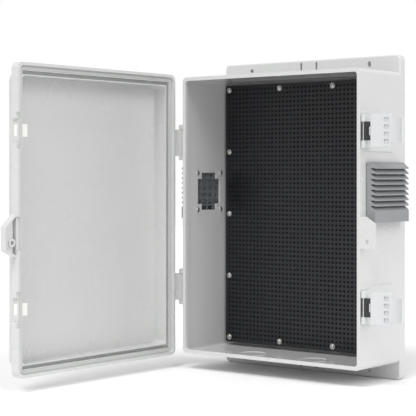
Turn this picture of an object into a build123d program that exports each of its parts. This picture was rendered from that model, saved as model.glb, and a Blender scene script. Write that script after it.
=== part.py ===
# Wall-mounted outdoor controller enclosure with a hinged door, two draw latches and two side vents.
# Millimetres. +X to the right, +Y towards the wall, +Z up. The origin is the centre of the wall face.
# The door is modelled standing open at a right angle, and the latches swung out to the side.
from build123d import *
import os

os.makedirs("parts", exist_ok=True)

# ---------------------------------------------------------------- driving dimensions
# case and wall flange
case_width = 460.0
case_height = 605.0
case_depth = 154.0  # from the rim to the front of the wall flange
case_corner = 10.0
case_wall = 4.0
back_wall = 4.0
rim_width = 8.0
rim_band = 10.0  # depth of the thickened band behind the rim
flange_depth = 19.0
flange_reach = 36.0  # how far the flange stands out above and below the case
flange_round = 3.0
flange_rib = 3.0

# holes in the flange
screw_hole_spread = 310.0
screw_hole_rise = 19.8  # above the case
screw_hole_diameter = 8.5
screw_slot_length = 12.5
strap_slot_spread = 40.0
strap_slot_rise = 22.8
strap_slot_width = 5.0
strap_slot_length = 17.6
hole_boss_wall = 4.0
flange_rib_shares = (0.1, 0.25, 0.4)  # of the case's width, from the middle

# mounting plate and its fasteners
plate_width = 440.0
plate_height = 581.0
plate_thickness = 3.0
plate_standoff = 24.0
plate_corner = 3.0
plate_screw_pitch = 140.0
boss_diameter = 14.0
insert_diameter = 7.0
insert_length = 12.0
insert_relief = 4.0  # hole left beyond an insert
plate_screw_diameter = 5.0
plate_screw_length = 14.0
plate_screw_head = 9.5
washer_diameter = 12.5
washer_thickness = 1.0
plate_hole_gap = 0.3  # round a screw in the plate, and below it in a washer or a wall
screw_hole_gap = 0.2

# vents in both side walls
vent_depth = 87.5  # centre of the vent behind the rim
vent_height = 51.5  # centre of the vent above the middle of the case
vent_opening_width = 79.0
vent_opening_height = 83.0
vent_notch = 13.5
vent_screw_pitch = 82.5
vent_screw_diameter = 4.0
vent_screw_length = 15.0
vent_screw_head = 10.5
hood_width = 132.0
hood_above = 61.0
hood_below = 46.0
hood_reach = 20.0
hood_skin = 3.0
hood_root = 10.0  # how far the solid part of the side plates stands out
hood_sill = 24.0  # height of the closed block under the blades
hood_corner = 4.0
hood_boss = 10.0  # diameter of its screw bosses
blade_count = 8
blade_pitch = 10.8
blade_drop = 8.5
blade_thickness = 2.4
blade_run = 13.0  # how far a blade reaches back from the front
tooth_inset = 1.0  # first tooth below the hood's top
tooth_lip = 1.4  # flat tip of a tooth
tooth_step = 1.2  # flat root of a tooth
seal_thickness = 1.0
seal_inset = 1.0  # from the hood's outline
guard_thickness = 2.0
guard_border = 4.5
guard_bar = 4.6
guard_columns = 4
guard_rows = 4
guard_cell_round = 3.0
guard_gap = 0.2  # round the guard in its seat
screen_gap = 0.3
screen_thickness = 0.6

# hinges
hinge_from_end = 143.0
hinge_out = 16.0  # pin axis beyond the side wall
hinge_back = 16.0  # pin axis behind the rim
hinge_height = 77.0
hinge_leaf_height = 58.4
hinge_knuckle = 13.0
hinge_pin_diameter = 5.0
hinge_running_gap = 0.3
hinge_plate = 3.0
hinge_plate_length = 41.0
hinge_screw_spread = 28.0
leaf_plate = 6.0
leaf_screw_spread = 36.0
small_screw_diameter = 4.0
small_screw_head = 8.0
blind_skin = 0.4  # wall left behind a blind screw hole
merge = 1.0  # how far a rib or wall runs into what carries it

# door
door_overlap = 7.0  # how far the door stands out past the case all round
door_skirt = 5.0  # how far its skirt reaches back over the case
door_edge = 16.0  # depth of the edge in front of the rim
door_depth = 38.0
door_wall = 4.0
door_clearance = 1.0
pan_inset = 19.0  # inner pan from the case outline, above, below and at the hinges
pan_inset_free = 10.0
pan_corner = 8.0
door_edge_round = 4.0
pan_round = 6.0
gasket_width = 6.0
gasket_inset = 1.0
gasket_seat = 4.0  # depth of the groove floor in front of the rim plane
gasket_gap = 0.3
door_face = 1.0  # inner face of the door edge in front of the rim plane

# hasp
hasp_height = -44.0  # eye centre above the middle of the case
hasp_eye_out = 17.0
hasp_eye_diameter = 8.5
hasp_tab_reach = 33.0
hasp_tab_thickness = 6.0
hasp_tab_low = -58.5
hasp_tab_high = 5.5
hasp_tab_flat = 11.0  # how far out its top runs before it slopes down
hasp_tab_drop = 13.5  # how far it slopes down
hasp_tab_corner = 5.0
hasp_rib = 4.0
hasp_rib_depth = 30.0
hasp_rib_inset = 7.0
lug_reach = 35.0
lug_depth = 14.0
notch_floor = 0.6  # how far in front of the rim plane the skirt notches and the lug start
lug_skin = 3.0
lug_ring = 17.0

# latches
latch_from_end = 127.0
latch_pad_depth = 2.0
latch_pad_length = 115.0
latch_pad_start = 9.0
latch_pad_height = 82.0
latch_pad_corner = 5.0
latch_pad_taper = 30.0
latch_pin_out = 5.5
latch_pin_back = 4.5
latch_pin_diameter = 5.6
lever_pin_diameter = 4.0
latch_height = 66.0
latch_mouth = 38.0  # clear height between the ears
ear_top = 11.5
ear_front = 1.0
ear_length = 22.0
base_thickness = 2.5
link_length = 20.0
link_height = 37.0
link_thickness = 8.0
link_hub = 9.0
link_slot = 17.0
link_snap = 5.0  # width of the mouth through which the link snaps on its pin
hook_height = 16.0
hook_reach = 9.5
hook_nose = 3.7
lever_offset = 7.0
lever_thickness = 4.0
lever_start = 2.0
lever_plate_length = 47.5
lever_pocket_width = 12.0
lever_pocket_height = 9.0
lever_pocket_pitch = 14.2
lever_pocket_depth = 2.6
lever_pocket_inset = 4.5  # from the plate's outer edge
lever_pocket_round = 2.0
lever_pockets = 4
tab_length = 30.0
tab_height = 47.0
tab_flare = 9.0
cheek_thickness = 3.3
cheek_gap = 0.3  # between the cheeks and the link
knuckle = 4.1  # outer radius round the lever's pin
hook_sweep = 11.0  # radius cleared in the link for the hook
base_screw_head = 7.5
running_radius = 0.06  # radial clearance of a turning pin

# keepers in the door
keeper_width = 14.0
keeper_height = 25.0
keeper_stem_height = 22.0
keeper_lead_in = 3.0

# cable knockouts in the floor
knockout_spread = 158.0
knockout_back = 54.0
knockout_diameter = 50.0
knockout_rim = 64.0
knockout_ring = 3.0  # width of the raised ring
knockout_raise = 1.2
knockout_groove = 1.5
knockout_skin = 1.2  # wall left under the groove

# ---------------------------------------------------------------- derived places
half_width = case_width / 2
half_height = case_height / 2
rim_y = -(case_depth + flange_depth)
rim_plane = Plane.XZ.offset(-rim_y)
plate_back_y = -(back_wall + plate_standoff)
plate_front_y = plate_back_y - plate_thickness
vent_y = rim_y + vent_depth
pin_x = -half_width - hinge_out
pin_y = rim_y + hinge_back
levels = {"upper": 1, "lower": -1}

hinge_z = half_height - hinge_from_end
latch_z = half_height - latch_from_end
latch_x = half_width + latch_pin_out
latch_y = rim_y + latch_pin_back
bracket_front = pin_y - hinge_knuckle / 2
bracket_screw_y = bracket_front + hinge_plate_length - 10
base_start = latch_y + link_hub / 2 + 0.5
base_screw_y = base_start + ear_length / 2

# The door has its own plane: local x from the hinge side to the free edge, local y up, and
# local z towards its front. Its origin is the middle of the case rim, swung open with the door.
door_plane = Plane(
    origin=(pin_x - hinge_back, pin_y - hinge_out - half_width, 0),
    x_dir=(0, -1, 0),
    z_dir=(-1, 0, 0),
)

plate_screw_places = [
    (column * plate_screw_pitch, row * plate_screw_pitch)
    for column in (-1.5, -0.5, 0.5, 1.5)
    for row in (-2, -1, 0, 1, 2)
    if abs(column) > 1 or abs(row) == 2
]
vent_screw_places = [
    (vent_y + side * vent_screw_pitch / 2, vent_height + rise * vent_screw_pitch / 2)
    for side in (-1, 1)
    for rise in (-1, 1)
]


# ---------------------------------------------------------------- shared shapes
def pan_screw(diameter, length, head_diameter):
    """Cross-recessed pan-head screw: the head sits on local z = 0, and the shank points down."""
    head_height = head_diameter * 0.34
    with BuildPart() as screw:
        with BuildSketch():
            Circle(head_diameter / 2)
        extrude(amount=head_height)
        fillet(screw.faces().sort_by(Axis.Z)[-1].edges(), head_height * 0.6)
        with BuildSketch():
            Circle(diameter / 2)
        extrude(amount=-length)
        chamfer(screw.faces().sort_by(Axis.Z)[0].edges(), diameter * 0.15)
        with BuildSketch(Plane.XY.offset(head_height)):
            Rectangle(head_diameter * 0.5, head_diameter * 0.12)
            Rectangle(head_diameter * 0.12, head_diameter * 0.5)
        extrude(amount=-head_height * 0.55, mode=Mode.SUBTRACT)
    return screw.part


def screw_location(x, y, z, outward):
    """Where a screw's seat is, with its head towards the outward direction."""
    return Plane(origin=(x, y, z), z_dir=outward).location


# ---------------------------------------------------------------- case, flange and bosses
flange_height = case_height + 2 * flange_reach
pocket_height = flange_reach - case_wall
pocket_middle = half_height + pocket_height / 2
screw_hole_z = half_height + screw_hole_rise
strap_slot_z = half_height + strap_slot_rise

with BuildPart() as box_shell:
    # wall flange, with its front edges rounded
    with BuildSketch(Plane.XZ):
        RectangleRounded(case_width, flange_height, case_corner)
    extrude(amount=flange_depth)
    fillet(box_shell.faces().sort_by(Axis.Y)[0].edges(), flange_round)
    # the case
    with BuildSketch(Plane.XZ):
        RectangleRounded(case_width, case_height, case_corner)
    extrude(amount=-rim_y)
    # the cavity, narrower at the rim
    inner_corner = case_corner - case_wall
    with BuildSketch(Plane.XZ.offset(back_wall)):
        RectangleRounded(case_width - 2 * case_wall, case_height - 2 * case_wall, inner_corner)
    extrude(amount=-rim_y - back_wall - rim_band, mode=Mode.SUBTRACT)
    with BuildSketch(rim_plane):
        RectangleRounded(case_width - 2 * rim_width, case_height - 2 * rim_width, inner_corner)
    extrude(amount=-rim_band - 1, mode=Mode.SUBTRACT)
    # pockets in the back of the flange, between ribs
    with BuildSketch(Plane.XZ):
        with Locations((0, pocket_middle), (0, -pocket_middle)):
            Rectangle(case_width - 2 * case_wall, pocket_height)
    extrude(amount=flange_depth - case_wall, mode=Mode.SUBTRACT)
    rib_places = [
        (side * share * case_width, end * pocket_middle)
        for side in (-1, 1)
        for share in flange_rib_shares
        for end in (-1, 1)
    ]
    with BuildSketch(Plane.XZ):
        with Locations(rib_places):
            Rectangle(flange_rib, pocket_height)
    extrude(amount=flange_depth - case_wall)
    # bosses round the flange holes
    with BuildSketch(Plane.XZ):
        with Locations(
            (-screw_hole_spread / 2, screw_hole_z),
            (-screw_hole_spread / 2, -screw_hole_z),
        ):
            Circle(screw_hole_diameter / 2 + hole_boss_wall)
        with Locations(
            (screw_hole_spread / 2, screw_hole_z),
            (screw_hole_spread / 2, -screw_hole_z),
        ):
            SlotOverall(
                screw_slot_length + 2 * hole_boss_wall,
                screw_hole_diameter + 2 * hole_boss_wall,
                rotation=90,
            )
        with GridLocations(strap_slot_spread, 2 * strap_slot_z, 2, 2):
            Rectangle(
                strap_slot_width + 2 * hole_boss_wall,
                strap_slot_length + 2 * hole_boss_wall,
            )
    extrude(amount=flange_depth - case_wall)
    # the holes themselves
    with BuildSketch(Plane.XZ):
        with Locations(
            (-screw_hole_spread / 2, screw_hole_z),
            (-screw_hole_spread / 2, -screw_hole_z),
        ):
            Circle(screw_hole_diameter / 2)
        with Locations(
            (screw_hole_spread / 2, screw_hole_z),
            (screw_hole_spread / 2, -screw_hole_z),
        ):
            SlotOverall(screw_slot_length, screw_hole_diameter, rotation=90)
        with GridLocations(strap_slot_spread, 2 * strap_slot_z, 2, 2):
            SlotOverall(strap_slot_length, strap_slot_width, rotation=90)
    extrude(amount=flange_depth, mode=Mode.SUBTRACT)
    # standoff bosses for the mounting plate
    with BuildSketch(Plane.XZ.offset(back_wall)):
        with Locations(plate_screw_places):
            Circle(boss_diameter / 2)
    extrude(amount=plate_standoff)
    with BuildSketch(Plane.XZ.offset(-plate_back_y)):
        with Locations(plate_screw_places):
            Circle(insert_diameter / 2)
    extrude(amount=-insert_length - insert_relief, mode=Mode.SUBTRACT)
    # vent openings through both side walls, with the corners left for the screws
    with BuildSketch(Plane.YZ):
        with Locations((vent_y, vent_height)):
            Rectangle(vent_opening_width, vent_opening_height - 2 * vent_notch)
            Rectangle(vent_opening_width - 2 * vent_notch, vent_opening_height)
        with Locations(vent_screw_places):
            Circle(vent_screw_diameter / 2 + screw_hole_gap)
    extrude(amount=half_width + 1, both=True, mode=Mode.SUBTRACT)
    # pads under the latches
    pad_middle = rim_y + latch_pad_start + latch_pad_length / 2
    with BuildSketch(Plane.YZ.offset(half_width)):
        with Locations((pad_middle, latch_z), (pad_middle, -latch_z)):
            RectangleRounded(latch_pad_length, latch_pad_height, latch_pad_corner)
    extrude(amount=latch_pad_depth, taper=latch_pad_taper)
    # blind screw holes under the hinge brackets and the latch bases
    with BuildSketch(Plane.YZ.offset(-half_width)):
        with Locations((bracket_screw_y, hinge_z), (bracket_screw_y, -hinge_z)):
            with GridLocations(1, hinge_screw_spread, 1, 2):
                Circle(small_screw_diameter / 2)
    extrude(amount=case_wall - blind_skin, mode=Mode.SUBTRACT)
    with BuildSketch(Plane.YZ.offset(half_width + latch_pad_depth)):
        with Locations((base_screw_y, latch_z), (base_screw_y, -latch_z)):
            with GridLocations(1, latch_mouth / 2, 1, 2):
                Circle(small_screw_diameter / 2)
    extrude(amount=blind_skin - case_wall - latch_pad_depth, mode=Mode.SUBTRACT)
    # fixed hasp tab beside the rim, with a rib behind it
    tab_middle = (hasp_tab_low + hasp_tab_high) / 2
    hasp_tab_end = half_width + hasp_tab_reach
    rib_start = rim_y + hasp_tab_thickness
    with BuildSketch(rim_plane):
        with BuildLine():
            FilletPolyline(
                (half_width - merge, hasp_tab_low),
                (hasp_tab_end, hasp_tab_low),
                (hasp_tab_end, hasp_tab_high - hasp_tab_drop),
                (half_width + hasp_tab_flat, hasp_tab_high),
                (half_width - merge, hasp_tab_high),
                radius=hasp_tab_corner,
            )
            Line((half_width - merge, hasp_tab_high), (half_width - merge, hasp_tab_low))
        make_face()
    extrude(amount=-hasp_tab_thickness)
    with BuildSketch(Plane.XY.offset(tab_middle)):
        with BuildLine():
            Polyline(
                (half_width - merge, rib_start - merge),
                (hasp_tab_end - hasp_rib_inset, rib_start - merge),
                (hasp_tab_end - hasp_rib_inset, rib_start),
                (half_width - merge, rib_start + hasp_rib_depth),
                close=True,
            )
        make_face()
    extrude(amount=hasp_rib / 2, both=True)
    with BuildSketch(rim_plane):
        with Locations((half_width + hasp_eye_out, hasp_height)):
            Circle(hasp_eye_diameter / 2)
    extrude(amount=-hasp_tab_thickness, mode=Mode.SUBTRACT)
    # cable knockouts in the floor: a raised ring inside, and a thinned circle outside
    knockout_places = [
        (-knockout_spread / 2, rim_y + knockout_back),
        (knockout_spread / 2, rim_y + knockout_back),
    ]
    with BuildSketch(Plane.XY.offset(-half_height + case_wall)):
        with Locations(knockout_places):
            Circle(knockout_rim / 2)
            Circle(knockout_rim / 2 - knockout_ring, mode=Mode.SUBTRACT)
    extrude(amount=knockout_raise)
    with BuildSketch(Plane.XY.offset(-half_height)):
        with Locations(knockout_places):
            Circle(knockout_diameter / 2)
            Circle(knockout_diameter / 2 - knockout_groove, mode=Mode.SUBTRACT)
    extrude(amount=case_wall - knockout_skin, mode=Mode.SUBTRACT)
box_shell.part.label = "box_shell"
export_step(box_shell.part, "parts/box_shell.step")

# ---------------------------------------------------------------- mounting plate and its fasteners
with BuildPart() as mounting_plate:
    with BuildSketch(Plane.XZ.offset(-plate_back_y)):
        RectangleRounded(plate_width, plate_height, plate_corner)
        with Locations(plate_screw_places):
            Circle(plate_screw_diameter / 2 + plate_hole_gap, mode=Mode.SUBTRACT)
    extrude(amount=plate_thickness)
mounting_plate.part.label = "mounting_plate"
export_step(mounting_plate.part, "parts/mounting_plate.step")

with BuildPart() as plate_inserts:
    with BuildSketch(Plane.XZ.offset(-plate_back_y)):
        with Locations(plate_screw_places):
            Circle(insert_diameter / 2)
            Circle(plate_screw_diameter / 2, mode=Mode.SUBTRACT)
    extrude(amount=-insert_length)
plate_inserts.part.label = "plate_inserts"
export_step(plate_inserts.part, "parts/plate_inserts.step")

with BuildPart() as plate_washers:
    with BuildSketch(Plane.XZ.offset(-plate_front_y)):
        with Locations(plate_screw_places):
            Circle(washer_diameter / 2)
            Circle(plate_screw_diameter / 2 + screw_hole_gap, mode=Mode.SUBTRACT)
    extrude(amount=washer_thickness)
plate_washers.part.label = "plate_washers"
export_step(plate_washers.part, "parts/plate_washers.step")

plate_screw = pan_screw(plate_screw_diameter, plate_screw_length, plate_screw_head)
plate_screw_seat = plate_front_y - washer_thickness
with BuildPart() as plate_screws:
    with Locations([screw_location(x, plate_screw_seat, z, (0, -1, 0)) for x, z in plate_screw_places]):
        add(plate_screw)
plate_screws.part.label = "plate_screws"
export_step(plate_screws.part, "parts/plate_screws.step")

# ---------------------------------------------------------------- vents, right side, mirrored to the left
hood_x = half_width + seal_thickness
hood_top = vent_height + hood_above
hood_bottom = vent_height - hood_below
guard_width = vent_opening_width + 2 * guard_border
guard_height = vent_opening_height + 2 * guard_border
first_tooth = hood_top - tooth_inset

with BuildPart() as vent_hood:
    # back frame with the window
    with BuildSketch(Plane.YZ.offset(hood_x)):
        with Locations((vent_y, (hood_top + hood_bottom) / 2)):
            RectangleRounded(hood_width, hood_top - hood_bottom, hood_corner)
        with Locations((vent_y, vent_height)):
            Rectangle(vent_opening_width, vent_opening_height, mode=Mode.SUBTRACT)
    extrude(amount=hood_skin + guard_thickness + screen_thickness)
    # side plates with a saw-toothed front edge
    with BuildSketch(Plane.XZ.offset(-vent_y)):
        with BuildLine():
            outline = [(hood_x, hood_top), (hood_x + hood_root, hood_top)]
            for blade in range(blade_count + 1):
                tooth = first_tooth - blade * blade_pitch
                outline += [(hood_x + hood_root, tooth), (hood_x + hood_reach, tooth - blade_drop)]
                if blade < blade_count:
                    outline += [
                        (hood_x + hood_reach, tooth - blade_drop - tooth_lip),
                        (hood_x + hood_root, tooth - blade_pitch + tooth_step),
                    ]
            sill_bottom = outline[-1][1] - hood_sill
            outline += [(hood_x + hood_reach, sill_bottom), (hood_x, hood_bottom)]
            Polyline(*outline, close=True)
        make_face()
    extrude(amount=hood_width / 2, both=True)
    # hollow between the side plates, up to the skins
    with BuildSketch(Plane.XZ.offset(-vent_y)):
        with BuildLine():
            Polyline(
                (hood_x, hood_top - hood_skin),
                (hood_x + hood_root - 1, hood_top - hood_skin),
                (hood_x + hood_reach + 1, hood_top - hood_skin - 9.5),
                (hood_x + hood_reach + 1, sill_bottom + hood_sill),
                (hood_x + hood_reach - hood_skin, sill_bottom + hood_sill - hood_skin),
                (hood_x + hood_reach - hood_skin, sill_bottom + hood_skin),
                (hood_x, hood_bottom + hood_skin),
                close=True,
            )
        make_face()
    extrude(amount=hood_width / 2 - hood_skin, both=True, mode=Mode.SUBTRACT)
    # frame again behind the hollow, with a seat for the guard and the screen
    with BuildSketch(Plane.YZ.offset(hood_x)):
        with Locations((vent_y, (hood_top + hood_bottom) / 2)):
            Rectangle(hood_width - hood_skin, hood_top - hood_bottom - hood_skin)
        with Locations((vent_y, vent_height)):
            Rectangle(vent_opening_width, vent_opening_height, mode=Mode.SUBTRACT)
    extrude(amount=hood_skin + guard_thickness + screen_thickness)
    # sloping blades, the last of them the top of the closed block
    with BuildSketch(Plane.XZ.offset(-vent_y)):
        for blade in range(blade_count + 1):
            tooth = first_tooth - blade * blade_pitch
            slope = blade_drop / (hood_reach - hood_root)
            with BuildLine():
                Polyline(
                    (hood_x + hood_reach, tooth - blade_drop),
                    (hood_x + hood_reach, tooth - blade_drop - blade_thickness),
                    (hood_x + hood_reach - blade_run, tooth - blade_drop - blade_thickness + blade_run * slope),
                    (hood_x + hood_reach - blade_run, tooth - blade_drop + blade_run * slope),
                    close=True,
                )
            make_face()
    extrude(amount=hood_width / 2 - 1, both=True)
    # screw bosses, and the seat for guard and screen
    with BuildSketch(Plane.YZ.offset(hood_x)):
        with Locations(vent_screw_places):
            Circle(hood_boss / 2)
    extrude(amount=vent_screw_length - case_wall + 1)
    with BuildSketch(Plane.YZ.offset(hood_x)):
        with Locations((vent_y, vent_height)):
            Rectangle(guard_width, guard_height - 2 * vent_notch)
            Rectangle(guard_width - 2 * vent_notch, guard_height)
    extrude(amount=guard_thickness + screen_thickness, mode=Mode.SUBTRACT)
    with BuildSketch(Plane.YZ.offset(hood_x)):
        with Locations(vent_screw_places):
            Circle(vent_screw_diameter / 2)
    extrude(amount=vent_screw_length - case_wall, mode=Mode.SUBTRACT)
    # nothing of the hood reaches behind its base
    with BuildSketch(Plane.YZ.offset(hood_x)):
        with Locations((vent_y, vent_height)):
            Rectangle(hood_width * 2, case_height)
    extrude(amount=-hood_reach, mode=Mode.SUBTRACT)

with BuildPart() as vent_seal:
    with BuildSketch(Plane.YZ.offset(half_width)):
        with Locations((vent_y, (hood_top + hood_bottom) / 2)):
            RectangleRounded(
                hood_width - 2 * seal_inset, hood_top - hood_bottom - 2 * seal_inset, hood_corner - seal_inset
            )
        with Locations((vent_y, vent_height)):
            Rectangle(vent_opening_width, vent_opening_height - 2 * vent_notch, mode=Mode.SUBTRACT)
            Rectangle(vent_opening_width - 2 * vent_notch, vent_opening_height, mode=Mode.SUBTRACT)
        with Locations(vent_screw_places):
            Circle(vent_screw_diameter / 2 + screw_hole_gap, mode=Mode.SUBTRACT)
    extrude(amount=seal_thickness)

with BuildPart() as vent_guard:
    with BuildSketch(Plane.YZ.offset(hood_x)):
        with Locations((vent_y, vent_height)):
            Rectangle(guard_width - 2 * guard_gap, guard_height - 2 * vent_notch - 2 * guard_gap)
            Rectangle(guard_width - 2 * vent_notch - 2 * guard_gap, guard_height - 2 * guard_gap)
    extrude(amount=guard_thickness)
    cell_width = (vent_opening_width + guard_bar) / guard_columns - guard_bar
    inner_height = vent_opening_height - 2 * vent_notch
    cell_height = (inner_height + guard_bar) / guard_rows - guard_bar
    column_pitch = cell_width + guard_bar
    row_pitch = cell_height + guard_bar
    inner_columns = guard_columns - 2
    with BuildSketch(Plane.YZ.offset(hood_x)):
        with Locations((vent_y, vent_height)):
            with GridLocations(column_pitch, row_pitch, guard_columns, guard_rows):
                RectangleRounded(cell_width, cell_height, guard_cell_round)
            with GridLocations(column_pitch, inner_height + vent_notch + guard_bar, inner_columns, 2):
                RectangleRounded(cell_width, vent_notch - guard_bar, guard_cell_round)
    extrude(amount=guard_thickness, mode=Mode.SUBTRACT)

with BuildPart() as vent_screen:
    with BuildSketch(Plane.YZ.offset(hood_x + guard_thickness)):
        with Locations((vent_y, vent_height)):
            Rectangle(guard_width - 2 * screen_gap, guard_height - 2 * vent_notch - 2 * screen_gap)
            Rectangle(guard_width - 2 * vent_notch - 2 * screen_gap, guard_height - 2 * screen_gap)
    extrude(amount=screen_thickness)

vent_screw = pan_screw(vent_screw_diameter, vent_screw_length, vent_screw_head)
inner_wall_x = half_width - case_wall
with BuildPart() as vent_screws:
    with Locations([screw_location(inner_wall_x, y, z, (-1, 0, 0)) for y, z in vent_screw_places]):
        add(vent_screw)

vent_pieces = {
    "vent_hood": vent_hood,
    "vent_seal": vent_seal,
    "vent_guard": vent_guard,
    "vent_screen": vent_screen,
    "vent_screws": vent_screws,
}
for piece_name, piece in vent_pieces.items():
    piece.part.label = f"{piece_name}_right"
    export_step(piece.part, f"parts/{piece_name}_right.step")
    with BuildPart() as left_piece:
        add(piece.part)
        mirror(about=Plane.YZ, mode=Mode.REPLACE)
    left_piece.part.label = f"{piece_name}_left"
    export_step(left_piece.part, f"parts/{piece_name}_left.step")

# ---------------------------------------------------------------- hinges
knuckle_radius = hinge_knuckle / 2
leaf_half = hinge_leaf_height / 2
end_knuckle = hinge_height / 2 - leaf_half - hinge_running_gap
bracket_face = -half_width - hinge_plate
small_screw = pan_screw(small_screw_diameter, hinge_plate + case_wall - 2 * blind_skin, small_screw_head)
leaf_screw = pan_screw(small_screw_diameter, leaf_plate + 11, small_screw_head)

# In the door's plane the pin stands hinge_out beyond the case and hinge_back behind the rim.
leaf_pin_u = -half_width - hinge_out
leaf_pin_d = -hinge_back
door_left = -half_width - door_overlap
leaf_outer = door_left - leaf_plate
leaf_screw_d = 7.0

bracket_screw_places = []
leaf_screw_places = []
for level, sign in levels.items():
    middle = sign * hinge_z
    with BuildPart() as hinge_bracket:
        with BuildSketch(Plane.YZ.offset(bracket_face)):
            with Locations((bracket_front + hinge_plate_length / 2, middle)):
                RectangleRounded(hinge_plate_length, hinge_height, 3)
        extrude(amount=hinge_plate)
        for end in (-1, 1):
            lug_start = middle + end * (leaf_half + hinge_running_gap)
            with BuildSketch(Plane.XY.offset(lug_start)):
                with Locations((pin_x, pin_y)):
                    Circle(knuckle_radius)
                with Locations(((pin_x + bracket_face) / 2, pin_y)):
                    Rectangle(bracket_face - pin_x + 1, hinge_knuckle)
            extrude(amount=end * end_knuckle)
        with BuildSketch(Plane.XY.offset(middle)):
            with Locations((pin_x, pin_y)):
                Circle(hinge_pin_diameter / 2)
        extrude(amount=hinge_height / 2, both=True, mode=Mode.SUBTRACT)
        with BuildSketch(Plane.YZ.offset(bracket_face)):
            with Locations((bracket_screw_y, middle)):
                with GridLocations(1, hinge_screw_spread, 1, 2):
                    Circle(small_screw_diameter / 2)
        extrude(amount=hinge_plate, mode=Mode.SUBTRACT)
    hinge_bracket.part.label = f"hinge_bracket_{level}"
    export_step(hinge_bracket.part, f"parts/hinge_bracket_{level}.step")

    with BuildPart() as hinge_pin:
        with BuildSketch(Plane.XY.offset(middle - hinge_height / 2)):
            with Locations((pin_x, pin_y)):
                Circle(hinge_pin_diameter / 2)
        extrude(amount=hinge_height)
        with BuildSketch(Plane.XY.offset(middle + hinge_height / 2)):
            with Locations((pin_x, pin_y)):
                Circle(hinge_pin_diameter / 2 + 1.5)
        extrude(amount=1.5)
        fillet(hinge_pin.faces().sort_by(Axis.Z)[-1].edges(), 0.8)
    hinge_pin.part.label = f"hinge_pin_{level}"
    export_step(hinge_pin.part, f"parts/hinge_pin_{level}.step")

    leaf_plane = Plane(
        origin=door_plane.from_local_coords((0, middle - leaf_half, 0)),
        x_dir=door_plane.x_dir,
        z_dir=(0, 0, 1),
    )
    with BuildPart() as hinge_leaf:
        with BuildSketch(leaf_plane):
            with Locations((leaf_pin_u, -leaf_pin_d)):
                Circle(knuckle_radius)
            with BuildLine():
                Polyline(
                    (leaf_pin_u - knuckle_radius, -leaf_pin_d),
                    (leaf_pin_u - knuckle_radius + 2, -2),
                    (leaf_outer, -2),
                    (leaf_outer, -13),
                    (door_left, -13),
                    (door_left, 4),
                    (leaf_outer + 2, 5),
                    (leaf_pin_u + knuckle_radius, -leaf_pin_d),
                    close=True,
                )
            make_face()
        extrude(amount=hinge_leaf_height)
        with BuildSketch(leaf_plane):
            with Locations((leaf_pin_u, -leaf_pin_d)):
                Circle(hinge_pin_diameter / 2 + running_radius)
        extrude(amount=hinge_leaf_height, mode=Mode.SUBTRACT)
        leaf_face = Plane(
            origin=door_plane.from_local_coords((leaf_outer, middle, leaf_screw_d)),
            x_dir=(1, 0, 0),
            z_dir=(0, -1, 0),
        )
        with BuildSketch(leaf_face):
            with GridLocations(1, leaf_screw_spread, 1, 2):
                Circle(small_screw_diameter / 2)
        extrude(amount=leaf_plate, mode=Mode.SUBTRACT)
    hinge_leaf.part.label = f"hinge_leaf_{level}"
    export_step(hinge_leaf.part, f"parts/hinge_leaf_{level}.step")

    for end in (-1, 1):
        screw_z = middle + end * hinge_screw_spread / 2
        bracket_screw_places.append(screw_location(bracket_face, bracket_screw_y, screw_z, (-1, 0, 0)))

with BuildPart() as hinge_bracket_screws:
    with Locations(bracket_screw_places):
        add(small_screw)
hinge_bracket_screws.part.label = "hinge_bracket_screws"
export_step(hinge_bracket_screws.part, "parts/hinge_bracket_screws.step")

with BuildPart() as hinge_leaf_screws:
    for sign in levels.values():
        for end in (-1, 1):
            seat = door_plane.from_local_coords(
                (leaf_outer, sign * hinge_z + end * leaf_screw_spread / 2, leaf_screw_d)
            )
            with Locations(Plane(origin=seat, z_dir=(0, 1, 0)).location):
                add(leaf_screw)
hinge_leaf_screws.part.label = "hinge_leaf_screws"
export_step(hinge_leaf_screws.part, "parts/hinge_leaf_screws.step")

# ---------------------------------------------------------------- door
door_width = case_width + 2 * door_overlap
door_height = case_height + 2 * door_overlap
pan_left = -half_width + pan_inset
pan_right = half_width - pan_inset_free
pan_width = pan_right - pan_left
pan_height = case_height - 2 * pan_inset
pan_middle = (pan_left + pan_right) / 2
gasket_outer_width = case_width - 2 * gasket_inset
gasket_outer_height = case_height - 2 * gasket_inset
channel_lip = 2.5
channel_left = -half_width + gasket_inset + gasket_width + 2
channel_top = half_height - gasket_inset - gasket_width - 2
link_notch_left = half_width + 0.5
stem_end = link_notch_left
link_notch_height = 2 * (link_height / 2 + cheek_thickness + 1.5)

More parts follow.
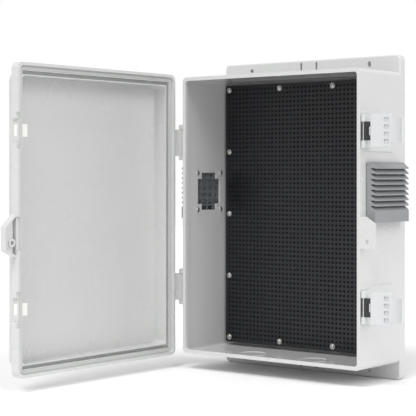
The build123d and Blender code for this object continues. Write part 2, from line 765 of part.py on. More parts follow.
with BuildPart() as door_shell:
    # edge and skirt
    with BuildSketch(door_plane.offset(-door_skirt)):
        RectangleRounded(door_width, door_height, case_corner + door_overlap / 2)
    extrude(amount=door_skirt + door_edge)
    fillet(door_shell.faces().sort_by(Axis.X)[0].edges(), door_edge_round)
    # raised pan
    with BuildSketch(door_plane):
        with Locations((pan_middle, 0)):
            RectangleRounded(pan_width + 2 * door_wall, pan_height + 2 * door_wall, pan_corner + door_wall)
    extrude(amount=door_depth)
    fillet(door_shell.faces().sort_by(Axis.X)[0].edges(), pan_round)
    # room for the case rim inside the skirt
    with BuildSketch(door_plane.offset(-door_skirt)):
        RectangleRounded(case_width + 2 * door_clearance, case_height + 2 * door_clearance, case_corner)
    extrude(amount=door_skirt + door_face, mode=Mode.SUBTRACT)
    # inside of the pan
    with BuildSketch(door_plane):
        with Locations((pan_middle, 0)):
            RectangleRounded(pan_width, pan_height, pan_corner)
    extrude(amount=door_depth - door_wall, mode=Mode.SUBTRACT)
    # gasket groove
    with BuildSketch(door_plane):
        RectangleRounded(gasket_outer_width, gasket_outer_height, case_corner)
        RectangleRounded(
            gasket_outer_width - 2 * gasket_width,
            gasket_outer_height - 2 * gasket_width,
            case_corner - gasket_width / 2,
            mode=Mode.SUBTRACT,
        )
    extrude(amount=gasket_seat, mode=Mode.SUBTRACT)
    # lightening channel along the top, the bottom and the hinge side
    with BuildSketch(door_plane):
        with BuildLine():
            Polyline(
                (pan_right, channel_top),
                (channel_left, channel_top),
                (channel_left, -channel_top),
                (pan_right, -channel_top),
                (pan_right, -pan_height / 2 - channel_lip),
                (pan_left - channel_lip, -pan_height / 2 - channel_lip),
                (pan_left - channel_lip, pan_height / 2 + channel_lip),
                (pan_right, pan_height / 2 + channel_lip),
                close=True,
            )
        make_face()
    extrude(amount=door_edge - door_wall, mode=Mode.SUBTRACT)
    # notches in the free edge for the latch links, and in the skirt for the ears and the hasp tab
    notch_width = door_overlap
    with BuildSketch(door_plane.offset(-door_skirt)):
        with Locations((link_notch_left + notch_width / 2, latch_z), (link_notch_left + notch_width / 2, -latch_z)):
            Rectangle(notch_width, link_notch_height)
    extrude(amount=door_skirt + door_edge, mode=Mode.SUBTRACT)
    with BuildSketch(door_plane.offset(-door_skirt)):
        with Locations((link_notch_left + notch_width / 2, latch_z), (link_notch_left + notch_width / 2, -latch_z)):
            Rectangle(notch_width, latch_height + 5)
        with Locations((link_notch_left + notch_width / 2, (hasp_tab_low + hasp_tab_high) / 2)):
            Rectangle(notch_width, hasp_tab_high - hasp_tab_low + 2)
    extrude(amount=door_skirt + notch_floor, mode=Mode.SUBTRACT)
    # windows through the pan wall for the keeper stems
    with BuildSketch(door_plane.offset(gasket_seat + 2)):
        with Locations(((pan_right + stem_end) / 2, latch_z), ((pan_right + stem_end) / 2, -latch_z)):
            Rectangle(stem_end - pan_right, keeper_stem_height)
    extrude(amount=door_edge - gasket_seat - 2, mode=Mode.SUBTRACT)
    # bores for the leaf screws
    screw_bore = Plane(
        origin=door_plane.from_local_coords((door_left, 0, leaf_screw_d)), x_dir=(1, 0, 0), z_dir=(0, -1, 0)
    )
    with BuildSketch(screw_bore):
        with Locations((0, hinge_z), (0, -hinge_z)):
            with GridLocations(1, leaf_screw_spread, 1, 2):
                Circle(small_screw_diameter / 2)
    extrude(amount=11, mode=Mode.SUBTRACT)
    # hasp lug: a tapered tray beside the free edge, with a ring round the eye
    lug_base_low = hasp_height - 29.5
    lug_base_high = hasp_height + 56.5
    lug_tip_low = hasp_height - 14.5
    lug_tip_high = hasp_height + 30.5
    lug_end = half_width + lug_reach
    door_right = half_width + door_overlap
    with BuildSketch(door_plane.offset(notch_floor)):
        with BuildLine():
            Polyline(
                (door_right - 1, lug_base_low),
                (lug_end, lug_tip_low),
                (lug_end, lug_tip_high),
                (door_right - 1, lug_base_high),
                close=True,
            )
        make_face()
    extrude(amount=lug_depth)
    with BuildSketch(door_plane):
        with BuildLine():
            Polyline(
                (door_right, lug_base_low + 4.5),
                (lug_end - lug_skin, lug_tip_low + 2.5),
                (lug_end - lug_skin, lug_tip_high - 2.5),
                (door_right, lug_base_high - 5.5),
                close=True,
            )
        make_face()
    extrude(amount=lug_depth - lug_skin, mode=Mode.SUBTRACT)
    # shelf inside the tray, clear of the door edge, and the ring
    with BuildSketch(door_plane.offset(lug_skin + 1)):
        with BuildLine():
            Polyline(
                (door_right + 6, lug_base_low + 6),
                (lug_end - 1, lug_tip_low + 1),
                (lug_end - 1, lug_tip_high - 1),
                (door_right + 6, lug_base_high - 8),
                close=True,
            )
        make_face()
    extrude(amount=lug_depth - lug_skin - 1)
    with BuildSketch(door_plane.offset(notch_floor)):
        with Locations((half_width + hasp_eye_out, hasp_height)):
            Circle(lug_ring / 2)
    extrude(amount=lug_depth)
    with BuildSketch(door_plane.offset(-1)):
        with Locations((half_width + hasp_eye_out, hasp_height)):
            Circle(hasp_eye_diameter / 2)
    extrude(amount=lug_depth + 2, mode=Mode.SUBTRACT)
door_shell.part.label = "door_shell"
export_step(door_shell.part, "parts/door_shell.step")

with BuildPart() as door_gasket:
    with BuildSketch(door_plane.offset(gasket_gap)):
        RectangleRounded(gasket_outer_width - 0.4, gasket_outer_height - 0.4, case_corner - 0.2)
        RectangleRounded(
            gasket_outer_width - 2 * gasket_width + 0.4,
            gasket_outer_height - 2 * gasket_width + 0.4,
            case_corner - gasket_width / 2 + 0.2,
            mode=Mode.SUBTRACT,
        )
    extrude(amount=gasket_seat - gasket_gap)
door_gasket.part.label = "door_gasket"
export_step(door_gasket.part, "parts/door_gasket.step")

for level, sign in levels.items():
    with BuildPart() as keeper:
        with BuildSketch(door_plane.offset(door_face + 0.5)):
            with Locations((pan_right - keeper_width / 2, sign * latch_z)):
                RectangleRounded(keeper_width, keeper_height, 1.5)
        extrude(amount=door_edge - door_face)
        with BuildSketch(door_plane.offset(gasket_seat + 2)):
            with Locations(((pan_right + stem_end) / 2, sign * latch_z)):
                Rectangle(stem_end - pan_right, keeper_stem_height)
        extrude(amount=door_edge - gasket_seat - 2)
        lead_in = keeper.edges().filter_by(Axis.Z).group_by(Axis.Y)[0].sort_by(Axis.X)[0]
        chamfer(lead_in, keeper_lead_in)
    keeper.part.label = f"keeper_{level}"
    export_step(keeper.part, f"parts/keeper_{level}.step")

# ---------------------------------------------------------------- draw latches
# Seen from above at rest: the link points away from the case, and the lever carries on from it.
lever_x = latch_x + link_length
pad_face = half_width + latch_pad_depth
ear_height = (latch_height - latch_mouth) / 2
pin_radius = latch_pin_diameter / 2
lever_pin_radius = lever_pin_diameter / 2
base_screw_length = base_thickness + latch_pad_depth + case_wall - 2 * blind_skin
base_screw = pan_screw(small_screw_diameter, base_screw_length, base_screw_head)
base_screw_places = []

for level, sign in levels.items():
    middle = sign * latch_z

    with BuildPart() as latch_base:
        with BuildSketch(Plane.YZ.offset(pad_face)):
            with Locations((base_start + ear_length / 2, middle)):
                Rectangle(ear_length, latch_height)
        extrude(amount=base_thickness)
        for end in (-1, 1):
            with BuildSketch(Plane.XY.offset(middle + end * latch_mouth / 2)):
                with BuildLine():
                    Polyline(
                        (half_width + ear_top, rim_y + ear_front),
                        (half_width + ear_top, base_start + ear_length - 4),
                        (half_width + ear_top - 5, base_start + ear_length),
                        (pad_face, base_start + ear_length),
                        (pad_face, rim_y + ear_front),
                        close=True,
                    )
                make_face()
            extrude(amount=end * ear_height)
        with BuildSketch(Plane.XY.offset(middle)):
            with Locations((latch_x, latch_y)):
                Circle(pin_radius)
        extrude(amount=latch_height, both=True, mode=Mode.SUBTRACT)
        with BuildSketch(Plane.YZ.offset(pad_face)):
            with Locations((base_screw_y, middle)):
                with GridLocations(1, latch_mouth / 2, 1, 2):
                    Circle(small_screw_diameter / 2)
        extrude(amount=base_thickness, mode=Mode.SUBTRACT)
    latch_base.part.label = f"latch_base_{level}"
    export_step(latch_base.part, f"parts/latch_base_{level}.step")
    for end in (-1, 1):
        screw_z = middle + end * latch_mouth / 4
        base_screw_places.append(
            screw_location(pad_face + base_thickness, base_screw_y, screw_z, (1, 0, 0))
        )

    with BuildPart() as latch_pin:
        with BuildSketch(Plane.XY.offset(middle)):
            with Locations((latch_x, latch_y)):
                Circle(pin_radius)
        extrude(amount=latch_height / 2, both=True)
    latch_pin.part.label = f"latch_pin_{level}"
    export_step(latch_pin.part, f"parts/latch_pin_{level}.step")

    with BuildPart() as latch_link:
        with BuildSketch(Plane.XY.offset(middle)):
            with Locations((latch_x, latch_y)):
                Circle(link_hub / 2)
            with Locations(((latch_x + lever_x) / 2, latch_y)):
                Rectangle(link_length, link_thickness)
            with Locations((lever_x, latch_y)):
                Circle(knuckle)
        extrude(amount=link_height / 2, both=True)
        with BuildSketch(Plane.XY.offset(middle)):
            with Locations((lever_x, latch_y)):
                Circle(hook_sweep)
        extrude(amount=link_slot / 2, both=True, mode=Mode.SUBTRACT)
        with BuildSketch(Plane.XY.offset(middle)):
            with Locations((latch_x, latch_y)):
                Circle(pin_radius + running_radius)
            with Locations((lever_x, latch_y)):
                Circle(lever_pin_radius + running_radius)
            with Locations((latch_x, latch_y - link_hub / 2)):
                Rectangle(link_snap, link_hub)
        extrude(amount=link_height, both=True, mode=Mode.SUBTRACT)
    latch_link.part.label = f"latch_link_{level}"
    export_step(latch_link.part, f"parts/latch_link_{level}.step")

    with BuildPart() as lever_pin:
        with BuildSketch(Plane.XY.offset(middle)):
            with Locations((lever_x, latch_y)):
                Circle(lever_pin_radius)
        extrude(amount=link_height / 2 + cheek_gap + cheek_thickness, both=True)
    lever_pin.part.label = f"lever_pin_{level}"
    export_step(lever_pin.part, f"parts/lever_pin_{level}.step")

    with BuildPart() as latch_hook:
        with BuildSketch(Plane.XY.offset(middle)):
            with Locations((lever_x, latch_y)):
                Circle(knuckle)
            with BuildLine():
                Polyline(
                    (lever_x - hook_nose - 0.8, latch_y),
                    (lever_x - hook_nose - 0.8, latch_y + hook_reach - 1),
                    (lever_x - hook_nose + 0.2, latch_y + hook_reach),
                    (lever_x - 0.8, latch_y + hook_reach),
                    (lever_x - 0.8, latch_y),
                    close=True,
                )
            make_face()
            with BuildLine():
                Polyline(
                    (lever_x - 2, latch_y),
                    (lever_x + lever_start, latch_y - lever_offset),
                    (lever_x + lever_start + 9, latch_y - lever_offset),
                    (lever_x + 3, latch_y + 2),
                    close=True,
                )
            make_face()
            with Locations((lever_x, latch_y)):
                Circle(lever_pin_radius, mode=Mode.SUBTRACT)
        extrude(amount=hook_height / 2, both=True)
    latch_hook.part.label = f"latch_hook_{level}"
    export_step(latch_hook.part, f"parts/latch_hook_{level}.step")

    with BuildPart() as latch_lever:
        plate_inner = latch_y - lever_offset
        plate_outer = plate_inner - lever_thickness
        plate_left = lever_x + lever_start
        plate_right = plate_left + lever_plate_length
        tab_end = plate_right + tab_length
        with BuildSketch(Plane.XY.offset(middle)):
            with BuildLine():
                Polyline(
                    (plate_left, plate_inner),
                    (plate_left, plate_outer),
                    (plate_right, plate_outer),
                    (plate_right, plate_inner),
                    close=True,
                )
            make_face()
        extrude(amount=latch_height / 2 - 0.5, both=True)
        fillet(latch_lever.edges().filter_by(Axis.Y), 2)
        fillet(latch_lever.faces().sort_by(Axis.Y)[0].edges(), 1)
        # finger pockets across the plate
        with BuildSketch(Plane.XZ.offset(-plate_outer)):
            with Locations((plate_right - lever_pocket_width / 2 - lever_pocket_inset, middle)):
                with GridLocations(1, lever_pocket_pitch, 1, lever_pockets):
                    RectangleRounded(lever_pocket_width, lever_pocket_height, lever_pocket_round)
        extrude(amount=-lever_pocket_depth, mode=Mode.SUBTRACT)
        # thumb tab, curving away from the case
        with BuildSketch(Plane.XY.offset(middle)):
            with BuildLine():
                outer = ThreePointArc(
                    (plate_right - 1, plate_outer + 0.6),
                    (plate_right + tab_length * 0.55, plate_outer + 0.8 - tab_flare * 0.25),
                    (tab_end, plate_outer - tab_flare),
                )
                Line(outer @ 1, (tab_end + 1.5, plate_outer - tab_flare + 3))
                inner = ThreePointArc(
                    (tab_end + 1.5, plate_outer - tab_flare + 3),
                    (plate_right + tab_length * 0.55, plate_inner - 0.4 - tab_flare * 0.25),
                    (plate_right - 1, plate_inner - 0.4),
                )
                Line(inner @ 1, outer @ 0)
            make_face()
        extrude(amount=tab_height / 2, both=True)
        # cheeks outside the link, carrying the pin
        for end in (-1, 1):
            with BuildSketch(Plane.XY.offset(middle + end * (link_height / 2 + cheek_gap))):
                with Locations((lever_x, latch_y)):
                    Circle(knuckle)
                with BuildLine():
                    Polyline(
                        (lever_x - knuckle, latch_y),
                        (plate_left, plate_inner - 1),
                        (plate_left + 12, plate_inner - 1),
                        (lever_x + knuckle, latch_y),
                        close=True,
                    )
                make_face()
                with Locations((lever_x, latch_y)):
                    Circle(lever_pin_radius, mode=Mode.SUBTRACT)
            extrude(amount=end * cheek_thickness)
    latch_lever.part.label = f"latch_lever_{level}"
    export_step(latch_lever.part, f"parts/latch_lever_{level}.step")

with BuildPart() as latch_base_screws:
    with Locations(base_screw_places):
        add(base_screw)
latch_base_screws.part.label = "latch_base_screws"
export_step(latch_base_screws.part, "parts/latch_base_screws.step")
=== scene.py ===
import bpy
import numpy as np
from mathutils import Matrix, Vector


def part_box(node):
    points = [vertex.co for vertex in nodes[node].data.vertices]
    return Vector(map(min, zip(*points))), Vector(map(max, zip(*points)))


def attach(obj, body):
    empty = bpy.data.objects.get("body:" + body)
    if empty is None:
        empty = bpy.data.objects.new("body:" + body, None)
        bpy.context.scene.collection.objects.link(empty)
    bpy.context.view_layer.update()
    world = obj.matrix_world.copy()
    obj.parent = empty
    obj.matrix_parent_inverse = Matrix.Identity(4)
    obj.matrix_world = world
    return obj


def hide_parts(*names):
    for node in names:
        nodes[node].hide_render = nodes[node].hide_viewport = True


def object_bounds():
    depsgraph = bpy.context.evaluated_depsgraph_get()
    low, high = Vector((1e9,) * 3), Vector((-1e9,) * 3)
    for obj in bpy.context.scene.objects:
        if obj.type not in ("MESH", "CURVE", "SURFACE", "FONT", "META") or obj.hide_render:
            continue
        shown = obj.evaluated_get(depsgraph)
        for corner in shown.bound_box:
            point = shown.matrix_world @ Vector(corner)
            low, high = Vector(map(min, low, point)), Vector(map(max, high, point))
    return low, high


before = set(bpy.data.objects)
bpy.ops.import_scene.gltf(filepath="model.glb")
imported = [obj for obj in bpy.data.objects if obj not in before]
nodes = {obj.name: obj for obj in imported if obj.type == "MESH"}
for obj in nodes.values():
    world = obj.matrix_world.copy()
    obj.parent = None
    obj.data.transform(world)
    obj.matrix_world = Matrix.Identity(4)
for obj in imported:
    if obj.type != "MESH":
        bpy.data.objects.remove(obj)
cad_low, cad_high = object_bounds()
mm = 0.001

# ------------------------------------------------------------------ case and door
# The case with its wall flange and the door are injection mouldings in pale grey ABS. Inside, the
# tool was polished, so the walls mirror what is near them; outside it left a fine spark-eroded
# grain. Thick ribs and bosses pull the skin a little as it cools, which bends long reflections.
tint_spread = 90 * mm  # width of the slow clouds between two close shades
sink_spread = 55 * mm  # distance between sink marks
polished_roughness = 0.09


def srgb(hex_colour):
    """Turns an sRGB hex colour into linear RGBA."""
    parts = np.array([int(hex_colour[i : i + 2], 16) for i in (1, 3, 5)]) / 255
    line = np.where(parts <= 0.04045, parts / 12.92, ((parts + 0.055) / 1.055) ** 2.4)
    return (*line.tolist(), 1.0)


def add(tree, kind, settings=(), links=()):
    """Adds one node. A setting names an input or a property; a link names an input and its source."""
    made = tree.nodes.new(kind)
    for name, value in dict(settings).items():
        if isinstance(name, int) or name in made.inputs:
            made.inputs[name].default_value = value
        else:
            setattr(made, name, value)
    for name, source in dict(links).items():
        tree.links.new(source, made.inputs[name])
    return made


def new_material(name):
    """A material with an empty node tree, its output node and Object coordinates."""
    material = bpy.data.materials.new(name)
    material.use_nodes = True
    tree = material.node_tree
    tree.nodes.clear()
    output = add(tree, "ShaderNodeOutputMaterial")
    place = add(tree, "ShaderNodeTexCoord").outputs["Object"]
    return material, tree, output, place


def finish(node_names, material):
    """Gives CAD nodes a material."""
    for name in node_names:
        nodes[name].data.materials.clear()
        nodes[name].data.materials.append(material)


def moulded_plastic(name, colour, shade, roughness, grain, grain_depth, sink=0.0, edge=0.35, polished=None):
    """Moulded plastic: two close shades in slow clouds, a spark-eroded grain and slow sink marks.

    grain is the grain's width and grain_depth its height, and sink the height of the slow bend,
    all in millimetres. edge is the radius that the tool leaves on a sharp edge. polished is the low
    and the high corner of a box in which the tool was polished, so that the skin there is glossy.
    """
    material, tree, output, place = new_material(name)
    clouds = add(tree, "ShaderNodeTexNoise", {"Scale": 1 / tint_spread, "Detail": 2.0}, {"Vector": place})
    tint = add(
        tree,
        "ShaderNodeMix",
        {"data_type": "RGBA", 6: srgb(colour), 7: srgb(shade)},
        {0: clouds.outputs["Fac"]},
    )
    gloss = add(
        tree,
        "ShaderNodeMapRange",
        {"From Min": 0.3, "From Max": 0.7, "To Min": roughness * 0.88, "To Max": roughness * 1.12},
        {"Value": clouds.outputs["Fac"]},
    )
    slow = add(tree, "ShaderNodeTexNoise", {"Scale": 1 / sink_spread, "Detail": 1.0}, {"Vector": place})
    fine = add(tree, "ShaderNodeTexNoise", {"Scale": 1 / (grain * mm), "Detail": 2.0}, {"Vector": place})
    worn = add(tree, "ShaderNodeBevel", {"samples": 4, "Radius": edge * mm})
    bend = add(
        tree,
        "ShaderNodeBump",
        {"Distance": sink * mm, "Strength": 1.0},
        {"Height": slow.outputs["Fac"], "Normal": worn.outputs["Normal"]},
    )
    pits = add(
        tree,
        "ShaderNodeBump",
        {"Distance": grain_depth * mm, "Strength": 1.0},
        {"Height": fine.outputs["Fac"], "Normal": bend.outputs["Normal"]},
    )
    shader = add(
        tree,
        "ShaderNodeBsdfPrincipled",
        {"IOR": 1.54},
        {
            "Base Color": tint.outputs[2],
            "Roughness": gloss.outputs["Result"],
            "Normal": pits.outputs["Normal"],
        },
    )
    if polished:
        # The box is moved to the origin and scaled to run from -1 to 1 on each axis. A point is in it
        # when all three coordinates are within 1 of 0, so the three answers are multiplied.
        low, high = np.array(polished)
        reach = add(
            tree,
            "ShaderNodeMapping",
            {"vector_type": "TEXTURE", "Location": (low + high) / 2, "Scale": (high - low) / 2},
            {"Vector": place},
        )
        split = add(tree, "ShaderNodeSeparateXYZ", (), {0: reach.outputs[0]})
        near = {"operation": "COMPARE", 1: 0.0, 2: 1.0}
        both = {"operation": "MULTIPLY"}
        in_x, in_y, in_z = (
            add(tree, "ShaderNodeMath", near, {0: split.outputs[axis]}).outputs[0] for axis in range(3)
        )
        in_xy = add(tree, "ShaderNodeMath", both, {0: in_x, 1: in_y}).outputs[0]
        inside = add(tree, "ShaderNodeMath", both, {0: in_xy, 1: in_z}).outputs[0]
        skin = add(tree, "ShaderNodeMix", {3: polished_roughness}, {0: inside, 2: gloss.outputs["Result"]})
        tree.links.new(skin.outputs[0], shader.inputs["Roughness"])
    tree.links.new(shader.outputs["BSDF"], output.inputs["Surface"])
    return material


# The polished skin lies inside the case. Its box is built out from the plate's edges to just below
# the walls' inner skin, and starts just behind the rim's own face.
rim_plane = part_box("box_shell")[0].y
rim_skin = 0.5 * mm
plate_low, plate_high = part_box("mounting_plate")
side_reach = 7 * mm  # from the plate's sides to 1 mm inside the side walls
floor_reach = 9 * mm  # from its ends to 1 mm inside the top and the floor
cavity = (
    (plate_low.x - side_reach, rim_plane + rim_skin, plate_low.z - floor_reach),
    (plate_high.x + side_reach, 0.0, plate_high.z + floor_reach),
)
case_abs = moulded_plastic(
    "moulded_grey_abs", "#cecfce", "#cacbca", 0.26, 1.6, 0.004, sink=0.015, polished=cavity
)
finish(["box_shell", "door_shell"], case_abs)

# ------------------------------------------------------------------ mounting plate
# A 3 mm sheet of black ABS, pressed through with round holes on a 10 mm grid, so that devices can be
# tied or screwed on anywhere. The holes show black, because nothing lights the space behind them:
# each is drawn as a blind pocket that ends just short of the sheet's plain back, and its walls and
# floor are painted near-black as a painted shadow.
hole_pitch = 10 * mm
hole_radius = 2.7 * mm
hole_depth = 2.6 * mm
hole_columns = 43
hole_rows = 57
hole_sides = 12
sheet_corner = 3 * mm  # radius


def perforated_sheet(columns, rows):
    """Points, plain faces and hole faces of a sheet of square cells, each with a blind round hole.

    A cell's square and its hole share their angles, 15, 45, 75 degrees and so on. On the square,
    the point at an angle lies where the ray meets the side: its larger part is half a pitch. The
    border outside the cells is one more row of quads, out to the sheet's edge, whose corner points
    are drawn in to the middle of the corner's round. Then come the edge itself and a plain back.
    """
    turn = np.radians(360 / hole_sides * (np.arange(hole_sides) + 0.5))
    ray = np.stack([np.cos(turn), np.sin(turn)], 1)
    square = ray / np.abs(ray).max(1)[:, None] * hole_pitch / 2
    column_x = (np.arange(columns) - (columns - 1) / 2) * hole_pitch
    row_z = (np.arange(rows) - (rows - 1) / 2) * hole_pitch
    centres = np.stack(np.meshgrid(column_x, row_z), -1).reshape(-1, 1, 2)
    points, which = np.unique(np.round((centres + square).reshape(-1, 2), 7), axis=0, return_inverse=True)
    holes = (centres + ray * hole_radius).reshape(-1, 2)
    # The cells' outline is put in order by its angle on a square, and scaled out to the sheet's edge.
    half = np.array([columns, rows]) * hole_pitch / 2
    on_rim = np.flatnonzero((np.abs(np.abs(points) - half) < 1e-6).any(1))
    angle = np.arctan2(points[on_rim, 1] / half[1], points[on_rim, 0] / half[0])
    on_rim = on_rim[np.argsort(angle)]
    size = np.array([plate_high.x - plate_low.x, plate_high.z - plate_low.z]) / 2
    edge = points[on_rim] / half * size
    nearest = size - sheet_corner * (1 - np.sqrt(0.5))
    edge = np.where((np.abs(edge) > nearest).all(1)[:, None], np.sign(edge) * nearest, edge)
    front, back = plate_low.y, plate_high.y
    floor_depth = front + hole_depth
    layers = [(points, front), (holes, front), (holes, floor_depth), (edge, front), (edge, back)]
    starts = np.cumsum([0] + [len(flat) for flat, _ in layers])
    every = np.concatenate([np.insert(flat, 1, depth, axis=1) for flat, depth in layers])
    hole = np.arange(len(holes)).reshape(-1, hole_sides)
    hole_next = np.roll(hole, -1, axis=1)
    corner, corner_next = which.reshape(-1)[hole], which.reshape(-1)[hole_next]
    border = np.arange(len(edge))
    border_next = np.roll(border, -1)
    cells = np.stack([corner, corner_next, starts[1] + hole_next, starts[1] + hole], -1)
    front_edge, back_edge = starts[3] + border, starts[4] + border
    front_next, back_next = starts[3] + border_next, starts[4] + border_next
    rim = np.stack([on_rim, front_edge, front_next, np.roll(on_rim, -1)], -1)
    edge_faces = np.stack([front_edge, back_edge, back_next, front_next], -1)
    walls = np.stack([starts[1] + hole, starts[1] + hole_next, starts[2] + hole_next, starts[2] + hole], -1)
    back_face = [back_edge[::-1].tolist()]
    plain = np.concatenate([cells.reshape(-1, 4), rim, edge_faces]).tolist() + back_face
    dark = walls.reshape(-1, 4).tolist() + (starts[2] + hole).tolist()
    return every, plain, dark


black_abs = moulded_plastic("pressed_black_abs_sheet", "#14151a", "#101116", 0.34, 1.8, 0.006, edge=0.3)
# The pockets' near-black is painted shadow, standing in for the unlit space behind the holes.
shadow, tree, output, _ = new_material("painted_hole_shadow")
unlit = add(tree, "ShaderNodeBsdfPrincipled", {"Base Color": srgb("#020203"), "Roughness": 0.9})
tree.links.new(unlit.outputs["BSDF"], output.inputs["Surface"])
sheet_points, plain_faces, dark_faces = perforated_sheet(hole_columns, hole_rows)
sheet_mesh = bpy.data.meshes.new("perforated_plate")
sheet_mesh.from_pydata(sheet_points, [], plain_faces + dark_faces)
sheet_mesh.materials.append(black_abs)
sheet_mesh.materials.append(shadow)
sheet_mesh.polygons.foreach_set("material_index", [0] * len(plain_faces) + [1] * len(dark_faces))
plate = bpy.data.objects.new("perforated_plate", sheet_mesh)
bpy.context.scene.collection.objects.link(plate)
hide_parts("mounting_plate")
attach(plate, "enclosure")

# ------------------------------------------------------------------ inserts, washers and screws
# Turned brass inserts sit in the standoffs. Washers are stamped and screws are cold-headed from
# stainless wire, then tumbled, which leaves them bright with a faint swirl of fine scratches.


def polished_metal(name, colour, roughness, scratch):
    """Metal with fine scratches, which vary its roughness. scratch is their spacing in millimetres."""
    material, tree, output, place = new_material(name)
    lines = add(tree, "ShaderNodeTexNoise", {"Scale": 1 / (scratch * mm), "Detail": 4.0}, {"Vector": place})
    gloss = add(
        tree,
        "ShaderNodeMapRange",
        {"From Min": 0.3, "From Max": 0.7, "To Min": roughness * 0.75, "To Max": roughness * 1.3},
        {"Value": lines.outputs["Fac"]},
    )
    worn = add(tree, "ShaderNodeBevel", {"samples": 4, "Radius": 0.2 * mm})
    shader = add(
        tree,
        "ShaderNodeBsdfPrincipled",
        {"Base Color": srgb(colour), "Metallic": 1.0},
        {"Roughness": gloss.outputs["Result"], "Normal": worn.outputs["Normal"]},
    )
    tree.links.new(shader.outputs["BSDF"], output.inputs["Surface"])
    return material


brass = polished_metal("turned_brass", "#c9a45c", 0.3, 0.8)
stainless = polished_metal("tumbled_stainless_steel", "#d2d2cf", 0.24, 0.7)
finish(["plate_inserts"], brass)
finish(["plate_washers", "plate_screws"], stainless)

# ------------------------------------------------------------------ side vents
# Each vent is a hood moulded in mid-grey ABS with a coarse grain, on a cut foam rubber seal. A dark
# grey nylon guard and a woven stainless screen lie in its back, and four long screws hold it.
sides = ["right", "left"]
hood_abs = moulded_plastic("grained_grey_abs", "#8f9092", "#898a8c", 0.5, 1.2, 0.02)
foam_rubber = moulded_plastic("cut_epdm_foam", "#1b1b1b", "#151515", 0.8, 0.6, 0.06)
grey_nylon = moulded_plastic("moulded_grey_nylon", "#6a6c70", "#65676b", 0.4, 0.8, 0.01)
finish([f"vent_hood_{side}" for side in sides], hood_abs)
finish([f"vent_seal_{side}" for side in sides], foam_rubber)
finish([f"vent_guard_{side}" for side in sides], grey_nylon)
finish([f"vent_screws_{side}" for side in sides], stainless)

# The screen is stainless wire, woven plain with a 2.5 mm pitch and cut to the guard's cross shape.
mesh_pitch = 2.5 * mm
wire_radius = 0.14 * mm
wire_wave = 0.13 * mm  # how far a wire swings to each side of the screen's middle
screen_notch = 13.5 * mm  # side of the square that is cut from each corner


def woven_screen(side):
    """Points and quads of a screen's wires: each a square tube along a cosine wave in the screen's depth.

    Wires one way lie over and under the other way's by turns, so a wire's wave starts half a turn
    after its neighbour's, and the other way's waves are turned over.
    """
    low, high = (np.array(corner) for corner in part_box(f"vent_screen_{side}"))
    middle = (low + high) / 2
    half = (high - low) / 2 - wire_radius
    points, quads, start = [], [], 0
    for along, across, sense in ((1, 2, 1), (2, 1, -1)):
        count = int(half[across] / mesh_pitch)
        wires = np.arange(-count, count + 1)
        crossings = int(half[along] / mesh_pitch)
        steps = np.arange(-crossings, crossings + 1)
        short = np.abs(wires * mesh_pitch) > half[across] - screen_notch
        reach = np.where(short, half[along] - screen_notch, half[along])
        run = np.clip(steps * mesh_pitch, -reach[:, None], reach[:, None])
        wave = sense * wire_wave * np.cos(np.pi * (run / mesh_pitch + wires[:, None]))
        line = np.empty((*run.shape, 3))
        line[..., 0] = middle[0] + wave
        line[..., along] = middle[along] + run
        line[..., across] = middle[across] + (wires * mesh_pitch)[:, None]
        ring = np.zeros((4, 3))
        ring[:, 0] = [wire_radius, 0, -wire_radius, 0]
        ring[:, across] = [0, wire_radius, 0, -wire_radius]
        tube = line[:, :, None, :] + ring[::sense]
        index = start + np.arange(tube[..., 0].size).reshape(tube.shape[:3])
        here, onward = index[:, :-1], index[:, 1:]
        skin = np.stack([here, np.roll(here, -1, 2), np.roll(onward, -1, 2), onward], -1)
        quads += [skin.reshape(-1, 4), index[:, 0, ::-1], index[:, -1]]
        points.append(tube.reshape(-1, 3))
        start += tube[..., 0].size
    return np.concatenate(points), np.concatenate(quads)


wire = polished_metal("woven_stainless_wire", "#6e6e6c", 0.3, 0.5)
for side in sides:
    wire_points, wire_quads = woven_screen(side)
    wire_mesh = bpy.data.meshes.new(f"woven_screen_{side}")
    wire_mesh.from_pydata(wire_points, [], wire_quads.tolist())
    wire_mesh.materials.append(wire)
    screen = bpy.data.objects.new(f"woven_screen_{side}", wire_mesh)
    bpy.context.scene.collection.objects.link(screen)
    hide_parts(f"vent_screen_{side}")
    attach(screen, "enclosure")

# ------------------------------------------------------------------ hinges
# Brackets and leaves are moulded in the same ABS as the case, a little greyer in their thicker
# walls, and turn on stainless pins. Stainless pan screws hold both halves.
levels = ["upper", "lower"]
hinge_abs = moulded_plastic("hinge_grey_abs", "#c9cac9", "#c3c4c3", 0.32, 1.0, 0.006)
finish([f"hinge_bracket_{level}" for level in levels], hinge_abs)
finish([f"hinge_leaf_{level}" for level in levels], hinge_abs)
finish([f"hinge_pin_{level}" for level in levels], stainless)
finish(["hinge_bracket_screws", "hinge_leaf_screws"], stainless)

# ------------------------------------------------------------------ door fittings
# The gasket is polyurethane foam, poured into the groove as a bead that skins over. The keepers
# are moulded in natural white nylon, which looks a little warmer and lighter than the case.
gasket_foam = moulded_plastic("poured_polyurethane_foam", "#c4c6c4", "#bcbebc", 0.7, 1.5, 0.05)
keeper_nylon = moulded_plastic("natural_white_nylon", "#eeeeea", "#e9e9e4", 0.35, 0.9, 0.005)
finish(["door_gasket"], gasket_foam)
finish([f"keeper_{level}" for level in levels], keeper_nylon)
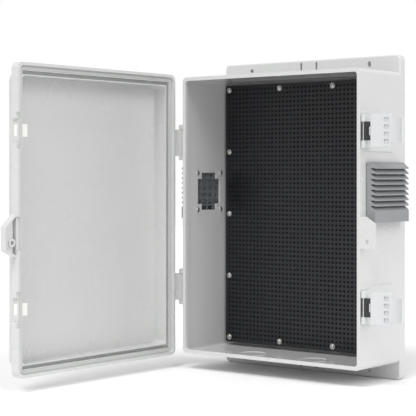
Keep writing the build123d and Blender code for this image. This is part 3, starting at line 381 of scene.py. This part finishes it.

# ------------------------------------------------------------------ draw latches
# Bases and levers are moulded in light grey ABS. The links and hooks, which carry the pull, are given
# a dark grey as painted shade, for the shaded gap between the base's pin and the lever. Pins and
# screws are stainless, and the base's thick pin is ground.
latch_abs = moulded_plastic("latch_grey_abs", "#d0d2d3", "#cbcdce", 0.28, 1.0, 0.006)
# The dark grey on links and hooks is painted shade for the gap between the base's pin and the lever.
painted_shade_link_plastic = moulded_plastic("latch_link_painted_shade", "#2c2d2f", "#252628", 0.42, 0.7, 0.02)
ground_steel = polished_metal("ground_stainless_steel", "#dcdcda", 0.38, 0.4)
finish([f"latch_base_{level}" for level in levels], latch_abs)
finish([f"latch_lever_{level}" for level in levels], latch_abs)
finish([f"latch_link_{level}" for level in levels], painted_shade_link_plastic)
finish([f"latch_hook_{level}" for level in levels], painted_shade_link_plastic)
finish([f"latch_pin_{level}" for level in levels], ground_steel)
finish([f"lever_pin_{level}" for level in levels], stainless)
finish(["latch_base_screws"], stainless)

# ------------------------------------------------------------------ studio
# A plain white floor under an even sky, with one soft light from the right and one from above. The
# camera is level, a little above the case's middle, and turned to look into it.
floor_half = 6.0
floor_level = cad_low.z - 0.4 * mm
floor_corners = [(-1, -1), (1, -1), (1, 1), (-1, 1)]
floor_mesh = bpy.data.meshes.new("floor")
floor_points = [(x * floor_half, y * floor_half, floor_level) for x, y in floor_corners]
floor_mesh.from_pydata(floor_points, [], [(0, 1, 2, 3)])
floor = bpy.data.objects.new("floor", floor_mesh)
bpy.context.scene.collection.objects.link(floor)
floor_paper, tree, output, _ = new_material("white_paper_floor")
paper = add(tree, "ShaderNodeBsdfPrincipled", {"Base Color": srgb("#fbfbfb"), "Roughness": 0.6})
tree.links.new(paper.outputs["BSDF"], output.inputs["Surface"])
floor.data.materials.append(floor_paper)

# The camera sees a pure white backdrop, while a dimmer sky lights the case.
world = bpy.data.worlds.new("studio")
world.use_nodes = True
tree = world.node_tree
tree.nodes.clear()
path = add(tree, "ShaderNodeLightPath")
backdrop = add(tree, "ShaderNodeBackground", {"Color": srgb("#ffffff"), "Strength": 1.0})
sky = add(tree, "ShaderNodeBackground", {"Color": srgb("#ffffff"), "Strength": 0.62})
shown = add(
    tree,
    "ShaderNodeMixShader",
    (),
    {0: path.outputs["Is Camera Ray"], 1: sky.outputs[0], 2: backdrop.outputs[0]},
)
add(tree, "ShaderNodeOutputWorld", (), {"Surface": shown.outputs[0]})
bpy.context.scene.world = world


def distant_light(name, towards, strength, spread):
    """An even light from far off in one direction. spread, in degrees, softens its shadows."""
    data = bpy.data.lights.new(name, "SUN")
    data.energy = strength * np.pi
    data.angle = np.radians(spread)
    light = bpy.data.objects.new(name, data)
    light.rotation_euler = (-Vector(towards)).to_track_quat("-Z", "Y").to_euler()
    bpy.context.scene.collection.objects.link(light)


distant_light("from_the_right", (0.75, -0.1, 0.65), 0.37, 40)
distant_light("from_above", (0.1, -0.6, 0.79), 0.55, 25)

camera_data = bpy.data.cameras.new("camera")
camera_data.sensor_fit = "HORIZONTAL"
camera_data.sensor_width = 36.0
camera_data.lens = 117.25
camera_data.shift_x = -0.0014
camera_data.shift_y = -0.0803
camera = bpy.data.objects.new("camera", camera_data)
camera_place = (1.683, -2.463, 0.0889)
yaw = np.radians(38.78)
camera.matrix_world = Matrix.Translation(camera_place) @ Matrix(
    ((np.cos(yaw), 0, np.sin(yaw), 0), (np.sin(yaw), 0, -np.cos(yaw), 0), (0, 1, 0, 0), (0, 0, 0, 1))
)
bpy.context.scene.collection.objects.link(camera)
bpy.context.scene.camera = camera
bpy.context.scene.view_settings.view_transform = "Standard"
